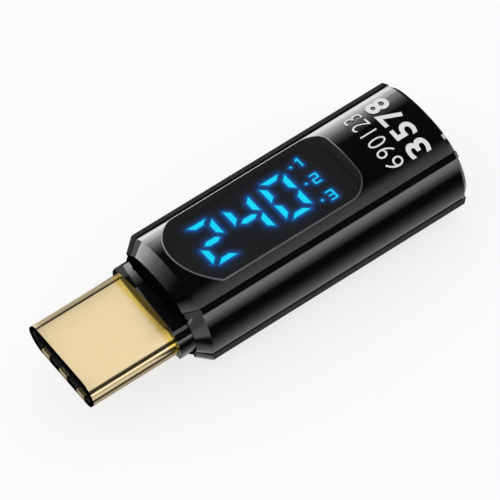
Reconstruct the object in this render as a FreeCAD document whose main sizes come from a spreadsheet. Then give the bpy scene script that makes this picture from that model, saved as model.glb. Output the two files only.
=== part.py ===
import FreeCAD, Part
import math
import os
import re
import sys

import Sketcher

# A straight USB-C adapter with a power display: plug at -X, socket at +X, display facing +Z.
# Every body is drawn in one local frame: x is the distance behind the plug's tip, and y = z = 0
# is the axis that the plug and the socket share.

SIZES = {
    # outer lengths along the axis, one after another from the plug's tip
    "plug_reach": 7.2,  # plug tip to the collar
    "collar_length": 1.2,
    "chamfer_length": 1.0,  # taper at the front of the barrel
    "bevel_length": 0.3,  # small taper at the rear
    # section of the barrel
    "side_wall": 0.55,  # beside the socket
    "roof_wall": 1.23,  # under the crown
    "front_wall": 1.3,
    "bay_corner": 1.8,
    "crown_radius": 9.5,  # the flat arc across the top
    "crown_half": 2.4,  # where the flat arc meets the tighter shoulder
    "crown_drop": 1.29,  # from the crest down to the corner ridge
    "flank_swell": 0.62,  # from the ridge out to the widest point
    "ridge_span_y": 0.25,
    "ridge_span_z": 0.36,
    "ridge_lift": 0.28,  # how far the ridge stands proud
    "nose_inset": 0.64,  # taper of the crown and the flank over the chamfer
    "nose_ridge_drop": 0.42,  # taper of the ridge over the chamfer, downwards
    "nose_ridge_inset": 0.78,  # and sideways
    "bevel_inset": 0.22,
    "foot_half": 0.6,  # half of the narrow flat that the barrel rests on
    "fit": 0.04,  # total play of a piece in its seat
    "end_gap": 0.05,  # play along the axis
    # collar round the plug
    "collar_wall": 0.295,
    "collar_roof": 0.8,
    "collar_swell": 0.52,
    "collar_drop": 0.60,
    "collar_crease": 0.18,
    "collar_crease_lift": 0.05,
    # window and its bright rim
    "window_start": 0.55,
    "window_length": 14.63,
    "window_width": 7.2,
    "window_front_radius": 4.2,  # the front end is one wide arc
    "window_corner": 1.8,  # at the rear end
    "window_thickness": 1.38,
    "window_lift": 0.03,
    "rim_width": 0.1,
    # display module
    "display_margin": 0.525,  # from the window's edge in to the module's
    "display_thickness": 0.75,
    "display_gap": 0.10,  # air under the window
    "digit_count": 3,
    "digit_pitch": 3.1,
    "digit_start": 3.93,  # barrel start to the first digit's centre
    "digit_height": 3.6,  # between the centre lines of the top and bottom segments
    "digit_span": 1.6,  # between the centre lines of the side segments
    "segment_width": 0.55,
    "segment_gap": 0.12,
    "segment_depth": 0.2,
    "lamp_start": 11.9,
    "lamp_count": 3,
    "lamp_pitch": 2.0,
    "lamp_radius": 0.22,
    # frame that carries the display and the window
    "frame_height": 0.93,
    "frame_margin": 0.08,
    "leg_side": 0.6,
    "leg_margin": 1.4,
    # circuit board
    "board_length": 12.45,
    "board_thickness": 0.8,
    "board_play": 0.32,  # to the barrel's wall, each side
    "neck_width": 7.0,
    "neck_margin": 0.2,
    # plug
    "plug_width": 8.25,
    "plug_height": 2.40,
    "plug_wall": 0.25,
    "plug_tail": 3.0,  # shell behind the collar
    "core_setback": 0.12,
    "core_tail": 0.9,  # shell that runs on behind the plastic core
    "lip": 0.28,  # core above and below the mouth
    "mouth_depth": 1.5,
    "mouth_corner": 0.3,
    "slot_play": 0.21,  # round the tongue, in width
    "slot_rise": 0.25,  # and in height
    "slot_depth": 5.4,
    "contact_count": 12,
    "contact_pitch": 0.5,
    "contact_width": 0.22,
    "contact_thickness": 0.12,
    "contact_start": 1.8,
    "contact_bow": 0.07,
    "bow_length": 0.5,
    "pad_length": 1.1,  # contact tail that lies on the board
    "channel_rise": 0.08,  # air over a contact in its channel
    "shield_thickness": 0.08,  # ground spring over the core
    "shield_start": 0.4,
    "shield_length": 4.0,
    "shield_margin": 0.05,  # inside the flat of the core's top
    "shield_pad_length": 0.8,
    "shield_pad_width": 1.1,
    "shield_pad_count": 3,
    "shield_pad_edge": 0.875,  # from the spring's edge to the middle of the outer pad
    "shield_pad_lift": 0.03,
    "plate_thickness": 0.15,  # ground plates of plug and socket
    "plate_margin": 0.08,  # from a plate's edge to the latches' hooks
    # side latches of the plug
    "latch_pivot": 6.8,
    "latch_tip": 1.3,
    "latch_inset": 0.415,  # inside the shell's wall
    "latch_thickness": 0.16,
    "latch_height": 0.5,
    "latch_hook": 0.2,
    "latch_hook_length": 0.55,
    "latch_boss": 0.14,
    "latch_clearance": 0.1,
    # socket
    "rear_frame_thickness": 0.8,
    "mouth_play": 0.09,  # round a plug, in width
    "mouth_rise": 0.16,  # and in height
    "socket_wall": 0.3,
    "socket_length": 7.35,
    "socket_play": 0.05,  # to the barrel's wall, each side
    "lead_in": 0.2,
    "base_length": 1.6,
    "tongue_length": 4.45,
    "tongue_inset": 0.78,  # from a plug's side in to the tongue's
    "tongue_thickness": 0.7,
    "step_length": 1.3,
    "step_thickness": 1.1,
    "notch_depth": 0.25,
    "notch_length": 0.9,
    "notch_back": 1.3,
    "strip_width": 0.25,
    "strip_thickness": 0.08,
    "strip_lift": 0.02,
    "strip_setback": 0.7,
    # chassis tray
    "rail_width": 1.3,
    "floor_drop": 0.85,  # air under the board's parts
    # parts on the board
    "part_gap": 0.35,
    "controller_side": 4.0,
    "controller_height": 0.85,
    "meter_side": 3.0,
    "meter_height": 0.75,
    "identity_side": 2.0,
    "identity_height": 0.6,
    "shunt_length": 3.2,
    "shunt_width": 1.6,
    "shunt_height": 0.55,
    "inductor_side": 3.0,
    "inductor_height": 1.1,
    "capacitor_length": 1.0,
    "capacitor_width": 0.5,
    "capacitor_height": 0.5,
    "capacitor_pitch": 1.2,
    "capacitor_count": 4,
    "pin_side": 0.3,
    "pin_pitch": 1.27,
    "pin_count": 7,
    "pin_margin": 0.4,  # from the display's edge in to its pins
}

# stations along the axis, as formulas in the sizes
NOSE = "(plug_reach + collar_length)"
BARREL = f"({NOSE} + chamfer_length)"
BAY = f"({NOSE} + front_wall)"
SHELL_END = f"({NOSE} + plug_tail)"
CORE_END = f"({SHELL_END} - core_tail)"
NECK_END = f"(max({SHELL_END}; {CORE_END} + pad_length) + neck_margin)"
BOARD_FRONT = f"({CORE_END} + end_gap)"
BOARD_REAR = f"({BOARD_FRONT} + board_length)"
SOCKET_BACK = f"({BOARD_REAR} + end_gap)"
TAIL_START = f"({SOCKET_BACK} - pad_length - end_gap)"
BOARD_MIDDLE = f"(({NECK_END} + {TAIL_START}) / 2)"
SOCKET_FACE = f"({SOCKET_BACK} + socket_length)"
BASE_END = f"({SOCKET_BACK} + base_length)"
TONGUE_TIP = f"({BASE_END} + tongue_length)"
STRIP_TIP = f"({TONGUE_TIP} - strip_setback)"
REAR = f"({SOCKET_FACE} + rear_frame_thickness)"
BARREL_END = f"({REAR} - bevel_length)"
WINDOW_MIDDLE = f"({BARREL} + window_start + window_length / 2)"

# widths, and heights above the axis
SOCKET_WIDTH = "(plug_width + mouth_play)"
SOCKET_HEIGHT = "(plug_height + mouth_rise)"
SOCKET_TOP = f"({SOCKET_HEIGHT} / 2 + socket_wall)"
BAY_HALF_WIDTH = f"({SOCKET_WIDTH} / 2 + socket_wall + socket_play)"
HALF_WIDTH = f"({BAY_HALF_WIDTH} + side_wall)"
FRAME_FLOOR = f"({SOCKET_TOP} + fit)"
WINDOW_SEAT = f"({FRAME_FLOOR} + frame_height)"
HALF_HEIGHT = f"({WINDOW_SEAT} + window_thickness)"
BAY_HALF_HEIGHT = f"({HALF_HEIGHT} - roof_wall)"
DISPLAY_TOP = f"({WINDOW_SEAT} - display_gap)"
DISPLAY_FLOOR = f"({DISPLAY_TOP} - display_thickness)"
DISPLAY_LENGTH = "(window_length - 2 * display_margin)"
DISPLAY_WIDTH = "(window_width - 2 * display_margin)"
FRAME_WIDTH = "(window_width - 2 * frame_margin)"
BOARD_TOP = "(board_thickness / 2)"
BOARD_WIDTH = f"(2 * ({BAY_HALF_WIDTH} - board_play))"
STRIP_FLOOR = "(tongue_thickness / 2 + strip_lift - strip_thickness)"
# inside of the plug's shell, and outside of its core
CORE_WIDTH = "(plug_width - 2 * plug_wall - fit)"
CORE_HEIGHT = "(plug_height - 2 * plug_wall - fit)"
TONGUE_WIDTH = "(plug_width - 2 * tongue_inset)"
SLOT_WIDTH = f"({TONGUE_WIDTH} + slot_play)"
MOUTH_HALF_HEIGHT = f"({CORE_HEIGHT} / 2 - lip)"
LATCH_Y = "(plug_width / 2 - plug_wall - latch_inset)"
PLATE_WIDTH = f"(2 * ({LATCH_Y} - latch_thickness / 2 - latch_hook - plate_margin))"
SHIELD_WIDTH = "(plug_width - plug_height - 2 * shield_margin)"
SHIELD_PAD_PITCH = f"(({SHIELD_WIDTH} - 2 * shield_pad_edge) / (shield_pad_count - 1))"
FIRST_CONTACT = "(-contact_pitch * (contact_count - 1) / 2)"
FIRST_LAMP = "(-lamp_pitch * (lamp_count - 1) / 2)"

doc = FreeCAD.newDocument("usb_power_meter")
sheet = doc.addObject("Spreadsheet::Sheet", "sheet")
for row, (name, number) in enumerate(SIZES.items(), start=1):
    sheet.set(f"A{row}", str(number))
    sheet.setAlias(f"A{row}", name)
doc.recompute()

nodes = []


def formula(text):
    """Make an expression that reads the sheet from a formula in size names."""
    return re.sub(r"[a-z_]+", lambda word: "sheet." + word[0] if word[0] in SIZES else word[0], text)


def number(text):
    """The value of a formula, for the first guess of a sketch."""
    return float(sheet.evalExpression(formula(text)))


def new_body(label):
    """A body in the common local frame, kept as the node of that name."""
    body = doc.addObject("PartDesign::Body", label)
    body.Label = label
    body.AllowCompound = True
    seat(body)
    return body


def seat(thing):
    """Put a local frame in place: the whole length is centred and the crown rests on the ground."""
    thing.setExpression("Placement.Base.x", formula(f"-{REAR} / 2"))
    thing.setExpression("Placement.Base.z", formula(HALF_HEIGHT))


def keep(thing):
    """List an object as a node of the part."""
    nodes.append(thing)
    return thing


def new_sketch(body, plane, offset):
    """A sketch parallel to an origin plane of its own body, at a formula's distance."""
    sketch = body.newObject("Sketcher::SketchObject", body.Label + "_sketch")
    support = [feature for feature in body.Origin.OriginFeatures if feature.Role == plane][0]
    sketch.AttachmentSupport = (support, "")
    sketch.MapMode = "FlatFace"
    sketch.setExpression("AttachmentOffset.Base.z", formula(offset))
    return sketch


def add_loop(sketch, corners):
    """Draw a closed loop, anticlockwise; a third item at a corner makes the next edge a bulging arc."""
    first = sketch.GeometryCount
    spots = [FreeCAD.Vector(number(corner[0]), number(corner[1]), 0) for corner in corners]
    edges = []
    for index, corner in enumerate(corners):
        start = spots[index]
        end = spots[(index + 1) % len(spots)]
        if len(corner) == 3:
            edges.append(bulge(start, end, number(corner[2])))
        else:
            edges.append(Part.LineSegment(start, end))
    sketch.addGeometry(edges, False)
    constraints = []
    bindings = []
    before = sketch.ConstraintCount
    for index, corner in enumerate(corners):
        edge = first + index
        after = first + (index + 1) % len(corners)
        constraints.append(Sketcher.Constraint("Coincident", edge, 2, after, 1))
        bindings.append((before + len(constraints), corner[0]))
        constraints.append(Sketcher.Constraint("DistanceX", -1, 1, edge, 1, spots[index].x))
        bindings.append((before + len(constraints), corner[1]))
        constraints.append(Sketcher.Constraint("DistanceY", -1, 1, edge, 1, spots[index].y))
        if len(corner) == 3:
            bindings.append((before + len(constraints), corner[2]))
            constraints.append(Sketcher.Constraint("Radius", edge, number(corner[2])))
    sketch.addConstraint(constraints)
    for index, text in bindings:
        sketch.setExpression(f"Constraints[{index}]", formula(text))


def bulge(start, end, radius):
    """The short anticlockwise arc of a radius from start to end."""
    half = (end - start) * 0.5
    height = math.sqrt(max(radius * radius - half.Length * half.Length, 0.0))
    inward = FreeCAD.Vector(-half.y, half.x, 0).normalize()
    centre = start + half + inward * height
    first = math.atan2(start.y - centre.y, start.x - centre.x)
    last = math.atan2(end.y - centre.y, end.x - centre.x)
    circle = Part.Circle(centre, FreeCAD.Vector(0, 0, 1), radius)
    return Part.ArcOfCircle(circle, first, last)


def rectangle(left, right, low, high):
    """Corners of an upright rectangle."""
    return [(left, low), (right, low), (right, high), (left, high)]


def centred(width, height, x="0", y="0"):
    """Corners of a rectangle round a point."""
    return rectangle(f"{x} - {width} / 2", f"{x} + {width} / 2", f"{y} - {height} / 2", f"{y} + {height} / 2")


def racetrack(width, height):
    """A slot outline with round ends, its ends drawn as quarter arcs."""
    end = f"({width} / 2)"
    radius = f"({height} / 2)"
    flat = f"({width} / 2 - {height} / 2)"
    return [
        (end, "0", radius),
        (flat, radius),
        (f"-{flat}", radius, radius),
        (f"-{end}", "0", radius),
        (f"-{flat}", f"-{radius}"),
        (flat, f"-{radius}", radius),
    ]


def rounded(half_x, half_y, radius, x="0"):
    """A rectangle round (x, 0) with rounded corners."""
    near_x = f"({half_x} - {radius})"
    near_y = f"({half_y} - {radius})"
    return [
        (f"{x} + {half_x}", f"-{near_y}"),
        (f"{x} + {half_x}", near_y, radius),
        (f"{x} + {near_x}", half_y),
        (f"{x} - {near_x}", half_y, radius),
        (f"{x} - {half_x}", near_y),
        (f"{x} - {half_x}", f"-{near_y}", radius),
        (f"{x} - {near_x}", f"-{half_y}"),
        (f"{x} + {near_x}", f"-{half_y}", radius),
    ]


def round_loop(x, y, radius):
    """A circle round a point, drawn as four quarter arcs."""
    return [
        (f"({x} + {radius})", y, radius),
        (x, f"({y} + {radius})", radius),
        (f"({x} - {radius})", y, radius),
        (x, f"({y} - {radius})", radius),
    ]


def pad(body, plane, offset, loops, length):
    """Add a prism of the loops, along the plane's own normal."""
    sketch = new_sketch(body, plane, offset)
    for loop in loops:
        add_loop(sketch, loop)
    feature = body.newObject("PartDesign::Pad", body.Label + "_pad")
    feature.Profile = sketch
    feature.setExpression("Length", formula(length))
    return feature


def pocket(body, plane, offset, loops, length, forward=False):
    """Cut a prism of the loops, against the plane's normal or, forward, along it."""
    sketch = new_sketch(body, plane, offset)
    for loop in loops:
        add_loop(sketch, loop)
    feature = body.newObject("PartDesign::Pocket", body.Label + "_pocket")
    feature.Profile = sketch
    feature.Reversed = forward
    feature.setExpression("Length", formula(length))
    return feature


def loft(body, first, second):
    """Add a straight taper between two outlines, each a pair of offset and loop."""
    sketches = []
    for offset, loop in (first, second):
        sketch = new_sketch(body, "YZ_Plane", offset)
        add_loop(sketch, loop)
        sketches.append(sketch)
    feature = body.newObject("PartDesign::AdditiveLoft", body.Label + "_loft")
    feature.Profile = sketches[0]
    feature.Sections = [sketches[1]]
    feature.Ruled = True
    return feature


def repeat(body, feature, axis, pitch, count):
    """Repeat a feature along an origin axis, from where it is drawn."""
    pattern = body.newObject("PartDesign::LinearPattern", body.Label + "_pattern")
    pattern.Originals = [feature]
    direction = [item for item in body.Origin.OriginFeatures if item.Role == axis][0]
    pattern.Direction = (direction, [""])
    pattern.setExpression("Length", formula(f"{pitch} * ({count} - 1)"))
    pattern.setExpression("Occurrences", formula(count))
    body.Tip = pattern
    return pattern


# ---- housing ----------------------------------------------------------------------------------


def barrel_quarter(inset, ridge_inset, ridge_drop, land):
    """A quarter of the barrel's outline, from the flank to the crest, which may end in a flat land."""
    crest = f"({HALF_HEIGHT} - {inset})"
    flank = f"({HALF_WIDTH} - {inset})"
    side_y = f"({HALF_WIDTH} - flank_swell - {ridge_inset})"
    top_y = f"({side_y} - ridge_span_y)"
    top_z = f"({HALF_HEIGHT} - crown_drop - {ridge_drop})"
    side_z = f"({top_z} - ridge_span_z)"
    # the crown's arc starts level at the land
    crown_y = f"(crown_half - {inset})"
    lean = f"(({crown_y} - {land}) / crown_radius)"
    crown_z = f"({crest} - crown_radius + crown_radius * sqrt(1 - {lean} ^ 2))"
    # the shoulder's arc leaves the crown along its tangent and ends at the ridge
    run = f"({top_y} - {crown_y})"
    drop = f"({crown_z} - {top_z})"
    shoulder = f"(({run} ^ 2 + {drop} ^ 2) / 2 / ({drop} * sqrt(1 - {lean} ^ 2) - {run} * {lean}))"
    # the flank's arc passes through both ridges and the widest point
    swell = f"({flank} - {side_y})"
    flank_radius = f"(({side_z} ^ 2 + {swell} ^ 2) / 2 / {swell})"
    # the ridge is lifted square to its own width
    wide = "sqrt(ridge_span_y ^ 2 + ridge_span_z ^ 2)"
    out_y = f"(ridge_lift * ridge_span_z / {wide})"
    out_z = f"(ridge_lift * ridge_span_y / {wide})"
    return [
        (flank, "0", flank_radius),
        (side_y, side_z),
        (f"({side_y} + {out_y})", f"({side_z} + {out_z})"),
        (f"({top_y} + {out_y})", f"({top_z} + {out_z})"),
        (top_y, top_z, shoulder),
        (crown_y, crown_z, "crown_radius"),
        (land, crest),
    ]


def barrel_section(inset, ridge_inset, ridge_drop):
    """The barrel's outline: crowned top, bulged flanks, four ridges and a narrow flat foot below."""
    upper = barrel_quarter(inset, ridge_inset, ridge_drop, "0")
    lower = barrel_quarter(inset, ridge_inset, ridge_drop, "foot_half")
    return mirrored_quarters(upper, lower)


def mirrored_quarters(upper, lower):
    """Close an outline from two quarters, each from the +Y axis to a crest, over both axes."""
    loop = []
    for quarter, y_sign, z_sign in ((upper, "", ""), (upper, "-", ""), (lower, "-", "-"), (lower, "", "-")):
        if y_sign == z_sign:
            ends_on_axis = quarter[-1][0] == "0"
            edges = [(corner, corner) for corner in (quarter[:-1] if ends_on_axis else quarter)]
        else:
            edges = list(zip(quarter[:0:-1], quarter[-2::-1]))
        for corner, edge in edges:
            loop.append((y_sign + corner[0], z_sign + corner[1]) + edge[2:])
    return loop


FULL = barrel_section("0", "0", "0")
BAY_OUTLINE = rounded(BAY_HALF_WIDTH, BAY_HALF_HEIGHT, "bay_corner")
INNER_OUTLINE = rounded(f"({BAY_HALF_WIDTH} - fit)", f"({BAY_HALF_HEIGHT} - fit)", "bay_corner")
PLUG_PASSAGE = racetrack("(plug_width + fit)", "(plug_height + fit)")
SOCKET_MOUTH = racetrack(SOCKET_WIDTH, SOCKET_HEIGHT)
PLATE_SLOT = centred(f"({PLATE_WIDTH} + fit)", "(plate_thickness + fit)")


def housing_sleeve():
    """The metal barrel: tapered nose, raised corner ridges, open at the rear and under the window."""
    body = new_body("housing_sleeve")
    pad(body, "YZ_Plane", BARREL, [FULL], f"{BARREL_END} - {BARREL}")
    nose = barrel_section("nose_inset", "nose_ridge_inset", "nose_ridge_drop")
    loft(body, (NOSE, nose), (BARREL, FULL))
    rear = barrel_section("bevel_inset", "bevel_inset", "bevel_inset")
    loft(body, (BARREL_END, FULL), (REAR, rear))
    pocket(body, "YZ_Plane", REAR, [BAY_OUTLINE], f"{REAR} - {BAY}")
    pocket(body, "YZ_Plane", NOSE, [PLUG_PASSAGE], "front_wall + end_gap", forward=True)
    hole = window_outline("fit / 2")
    pocket(body, "XY_Plane", HALF_HEIGHT, [hole], "window_thickness + 2 * end_gap")
    return keep(body)


def window_outline(grow):
    """The window's outline seen from above, grown by a formula: an arc in front, rounded corners behind."""
    grow = f"({grow})"
    half = f"(window_width / 2 + {grow})"
    arc = f"(window_front_radius + {grow})"
    corner = f"(window_corner + {grow})"
    front = f"({WINDOW_MIDDLE} - window_length / 2 - {grow})"
    rear = f"({WINDOW_MIDDLE} + window_length / 2 + {grow})"
    side_start = f"({front} + {arc} - sqrt({arc} ^ 2 - {half} ^ 2))"
    return [
        (rear, f"-({half} - {corner})"),
        (rear, f"({half} - {corner})", corner),
        (f"({rear} - {corner})", half),
        (side_start, half, arc),
        (front, "0", arc),
        (side_start, f"-{half}"),
        (f"({rear} - {corner})", f"-{half}", corner),
    ]


def front_collar():
    """The collar that the plug comes out of, with a fine crease at each corner."""
    body = new_body("front_collar")
    half_width = "(plug_width / 2 + collar_wall)"
    half_height = "(plug_height / 2 + collar_roof)"
    side_y = f"({half_width} - collar_swell)"
    top_y = f"({side_y} - collar_crease)"
    top_z = f"({half_height} - collar_drop)"
    side_z = f"({top_z} - collar_crease)"
    quarter = [
        (half_width, "0", f"(({side_z} ^ 2 + collar_swell ^ 2) / 2 / collar_swell)"),
        (side_y, side_z),
        (f"({side_y} + collar_crease_lift)", f"({side_z} + collar_crease_lift)"),
        (f"({top_y} + collar_crease_lift)", f"({top_z} + collar_crease_lift)"),
        (top_y, top_z, f"(({top_y} ^ 2 + collar_drop ^ 2) / 2 / collar_drop)"),
        ("0", half_height),
    ]
    pad(body, "YZ_Plane", "plug_reach", [mirrored_quarters(quarter, quarter)], "collar_length")
    pocket(body, "YZ_Plane", NOSE, [PLUG_PASSAGE], "collar_length")
    return keep(body)


def rear_frame():
    """The end piece that closes the barrel round the socket's mouth, with a flared lead-in."""
    body = new_body("rear_frame")
    outline = rounded(f"({BAY_HALF_WIDTH} - fit / 2)", f"({BAY_HALF_HEIGHT} - fit / 2)", "bay_corner")
    pad(body, "YZ_Plane", SOCKET_FACE, [outline], "rear_frame_thickness")
    pocket(body, "YZ_Plane", REAR, [SOCKET_MOUTH], "rear_frame_thickness")
    flare = racetrack(f"({SOCKET_WIDTH} + lead_in)", f"({SOCKET_HEIGHT} + lead_in)")
    pocket(body, "YZ_Plane", REAR, [flare], "lead_in")
    return keep(body)


def under_crown(blank, label):
    """Trim a blank to the barrel's own crown and shoulders, a little proud of them."""
    crown = new_body(label + "_crown")
    pad(crown, "YZ_Plane", BARREL, [barrel_section("(-window_lift)", "0", "0")], f"{BARREL_END} - {BARREL}")
    piece = doc.addObject("Part::Common", label)
    piece.Base = blank
    piece.Tool = crown
    piece.Label = label
    return keep(piece)


def display_window():
    """The dark window, flat underneath and crowned on top."""
    blank = new_body("display_window_blank")
    outline = window_outline("-rim_width - fit / 2")
    pad(blank, "XY_Plane", WINDOW_SEAT, [outline], "2 * window_thickness")
    return under_crown(blank, "display_window")


def window_rim():
    """The bright rim between the window and the barrel."""
    blank = new_body("window_rim_blank")
    loops = [window_outline("0"), window_outline("-rim_width")]
    pad(blank, "XY_Plane", WINDOW_SEAT, loops, "2 * window_thickness")
    return under_crown(blank, "window_rim")


# ---- display ----------------------------------------------------------------------------------


def segment(x, y, length, upright):
    """One pointed display segment round a point."""
    half = "(segment_width / 2)"
    tip = f"({length} / 2 - segment_gap)"
    flat = f"({length} / 2 - segment_gap - segment_width / 2)"
    along = [(tip, "0"), (flat, half), (f"-{flat}", half), (f"-{tip}", "0")]
    along += [(f"-{flat}", f"-{half}"), (flat, f"-{half}")]
    if upright:
        along = [(f"-{v}" if not v.startswith("-") else v[1:], u) for u, v in along]
    return [(f"({x} + {u})", f"({y} + {v})") for u, v in along]


def digit_loops():
    """The seven segments of the first digit; the digit's top points to +Y."""
    middle = f"({BARREL} + digit_start)"
    loops = []
    for row in ("-digit_height / 2", "0", "digit_height / 2"):
        loops.append(segment(middle, row, "digit_span", False))
    for side in ("-", "+"):
        for row in ("-digit_height / 4", "digit_height / 4"):
            loops.append(segment(f"({middle} {side} digit_span / 2)", row, "(digit_height / 2)", True))
    return loops


def led_display():
    """The display module with a recess for each segment and lamp."""
    body = new_body("led_display")
    outline = centred(DISPLAY_LENGTH, DISPLAY_WIDTH, WINDOW_MIDDLE)
    pad(body, "XY_Plane", DISPLAY_FLOOR, [outline], "display_thickness")
    cut = pocket(body, "XY_Plane", DISPLAY_TOP, digit_loops(), "segment_depth")
    repeat(body, cut, "X_Axis", "digit_pitch", "digit_count")
    cut = pocket(body, "XY_Plane", DISPLAY_TOP, [lamp_loop()], "segment_depth")
    repeat(body, cut, "Y_Axis", "lamp_pitch", "lamp_count")
    return keep(body)


def lamp_loop():
    """The round lamp of the first unit, at the -Y side."""
    return round_loop(f"({BARREL} + lamp_start)", FIRST_LAMP, "lamp_radius")


def digit_segments():
    """The light-coloured segments of three digits, level with the display's face."""
    body = new_body("digit_segments")
    block = pad(body, "XY_Plane", f"{DISPLAY_TOP} - segment_depth", digit_loops(), "segment_depth")
    repeat(body, block, "X_Axis", "digit_pitch", "digit_count")
    return keep(body)


def unit_lamps():
    """The three lamps beside the unit signs."""
    body = new_body("unit_lamps")
    block = pad(body, "XY_Plane", f"{DISPLAY_TOP} - segment_depth", [lamp_loop()], "segment_depth")
    repeat(body, block, "Y_Axis", "lamp_pitch", "lamp_count")
    return keep(body)


def display_frame():
    """The frame under the window: it holds the display, presses on the socket and stands on the board."""
    body = new_body("display_frame")
    front = f"({BAY} + end_gap)"
    back = f"({SOCKET_FACE} - end_gap)"
    pad(body, "YZ_Plane", front, [INNER_OUTLINE], f"{back} - {front}")
    half = f"({FRAME_WIDTH} / 2)"
    around = [
        rectangle(f"-{HALF_WIDTH}", HALF_WIDTH, f"-{HALF_HEIGHT}", FRAME_FLOOR),
        rectangle(half, HALF_WIDTH, f"-{HALF_HEIGHT}", HALF_HEIGHT),
        rectangle(f"-{HALF_WIDTH}", f"-{half}", f"-{HALF_HEIGHT}", HALF_HEIGHT),
    ]
    for loop in around:
        pocket(body, "YZ_Plane", back, [loop], f"{back} - {front}")
    pocket(body, "XY_Plane", HALF_HEIGHT, [rectangle(front, back, f"-{half}", half)], "window_thickness")
    hole = centred(f"({DISPLAY_LENGTH} + 2 * end_gap)", f"({DISPLAY_WIDTH} + 2 * end_gap)", WINDOW_MIDDLE)
    pocket(body, "XY_Plane", WINDOW_SEAT, [hole], "frame_height + end_gap")
    legs = []
    for end in (f"({NECK_END} + leg_margin)", f"({BOARD_REAR} - leg_margin)"):
        for side in ("-", "+"):
            row = f"(0 {side} ({half} - leg_side / 2))"
            legs.append(centred("leg_side", "leg_side", end, row))
    pad(body, "XY_Plane", BOARD_TOP, legs, f"{FRAME_FLOOR} - {BOARD_TOP} + end_gap")
    return keep(body)


# ---- board and tray ---------------------------------------------------------------------------


def main_board():
    """The circuit board, with a narrow neck that enters the plug's shell."""
    body = new_body("main_board")
    outline = [
        (BOARD_FRONT, "-neck_width / 2"),
        (NECK_END, "-neck_width / 2"),
        (NECK_END, f"-{BOARD_WIDTH} / 2"),
        (BOARD_REAR, f"-{BOARD_WIDTH} / 2"),
        (BOARD_REAR, f"{BOARD_WIDTH} / 2"),
        (NECK_END, f"{BOARD_WIDTH} / 2"),
        (NECK_END, "neck_width / 2"),
        (BOARD_FRONT, "neck_width / 2"),
    ]
    pad(body, "XY_Plane", f"-{BOARD_TOP}", [outline], "board_thickness")
    return keep(body)


def chassis_tray():
    """The plastic tray under the board, with seats for the plug's tail and the socket."""
    body = new_body("chassis_tray")
    front = f"({BAY} + end_gap)"
    back = f"({SOCKET_FACE} - end_gap)"
    pad(body, "YZ_Plane", front, [INNER_OUTLINE], f"{back} - {front}")
    left, right = f"-{HALF_WIDTH}", HALF_WIDTH
    above = rectangle(left, right, f"(-{BOARD_TOP} - fit / 2)", HALF_HEIGHT)
    pocket(body, "YZ_Plane", back, [above], f"{back} - {front} + end_gap")
    plug_seat = rectangle(left, right, "(-plug_height / 2 - fit)", "0")
    pocket(body, "YZ_Plane", NECK_END, [plug_seat], f"{NECK_END} - {BAY}")
    socket_seat = rectangle(left, right, f"(-{SOCKET_TOP} - fit)", "0")
    pocket(body, "YZ_Plane", back, [socket_seat], f"{back} - {TAIL_START}")
    half = f"({BAY_HALF_WIDTH} - rail_width)"
    bay = rectangle(NECK_END, TAIL_START, f"-{half}", half)
    pocket(body, "XY_Plane", "0", [bay], f"{BOARD_TOP} + meter_height + floor_drop")
    return keep(body)


def block_on_board(label, x, y, length, width, height, below=False):
    """A plain component that sits on the board's upper or lower face."""
    body = new_body(label)
    base = f"(-{BOARD_TOP} - {height})" if below else BOARD_TOP
    pad(body, "XY_Plane", base, [centred(length, width, x, y)], height)
    return keep(body)


def capacitor_row(label, x, below=False):
    """A row of chip capacitors across the board."""
    body = new_body(label)
    base = f"(-{BOARD_TOP} - capacitor_height)" if below else BOARD_TOP
    start = "(-capacitor_pitch * (capacitor_count - 1) / 2)"
    outline = centred("capacitor_width", "capacitor_length", x, start)
    first = pad(body, "XY_Plane", base, [outline], "capacitor_height")
    repeat(body, first, "Y_Axis", "capacitor_pitch", "capacitor_count")
    return keep(body)


def display_pins():
    """Two rows of pins that carry the display above the board."""
    body = new_body("display_pins")
    start = f"({BOARD_MIDDLE} - pin_pitch * (pin_count - 1) / 2)"
    pair = []
    for side in ("-", "+"):
        row = f"(0 {side} ({DISPLAY_WIDTH} / 2 - pin_margin))"
        pair.append(centred("pin_side", "pin_side", start, row))
    first = pad(body, "XY_Plane", BOARD_TOP, pair, f"{DISPLAY_FLOOR} - {BOARD_TOP}")
    repeat(body, first, "X_Axis", "pin_pitch", "pin_count")
    return keep(body)


def chip_on_board(name, x, y, below=False):
    """A square part whose side and height are the sizes of that name."""
    side = f"{name}_side"
    return block_on_board(f"{name}_chip", x, y, side, side, f"{name}_height", below)


def board_components():
    """The chips and the passive parts, laid out from the board's middle with equal gaps."""
    upper = "((controller_side + inductor_side + capacitor_width) / 2 + part_gap)"
    chip_on_board("controller", f"({BOARD_MIDDLE} - {upper} + controller_side / 2)", "0")
    x = f"({BOARD_MIDDLE} - {upper} + controller_side + part_gap + inductor_side / 2)"
    block_on_board("power_inductor", x, "0", "inductor_side", "inductor_side", "inductor_height")
    capacitor_row("upper_capacitors", f"({BOARD_MIDDLE} + {upper} - capacitor_width / 2)")
    lower = "((meter_side + capacitor_width + shunt_length) / 2 + part_gap)"
    chip_on_board("meter", f"({BOARD_MIDDLE} - {lower} + meter_side / 2)", "0", below=True)
    x = f"({BOARD_MIDDLE} - {lower} + meter_side + part_gap + capacitor_width / 2)"
    capacitor_row("lower_capacitors", x, below=True)
    x = f"({BOARD_MIDDLE} + {lower} - shunt_length / 2)"
    y = "(-(part_gap + shunt_width) / 2)"
    block_on_board("shunt_resistor", x, y, "shunt_length", "shunt_width", "shunt_height", below=True)
    chip_on_board("identity", x, "((part_gap + identity_side) / 2)", below=True)
    display_pins()


# ---- plug -------------------------------------------------------------------------------------


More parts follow.
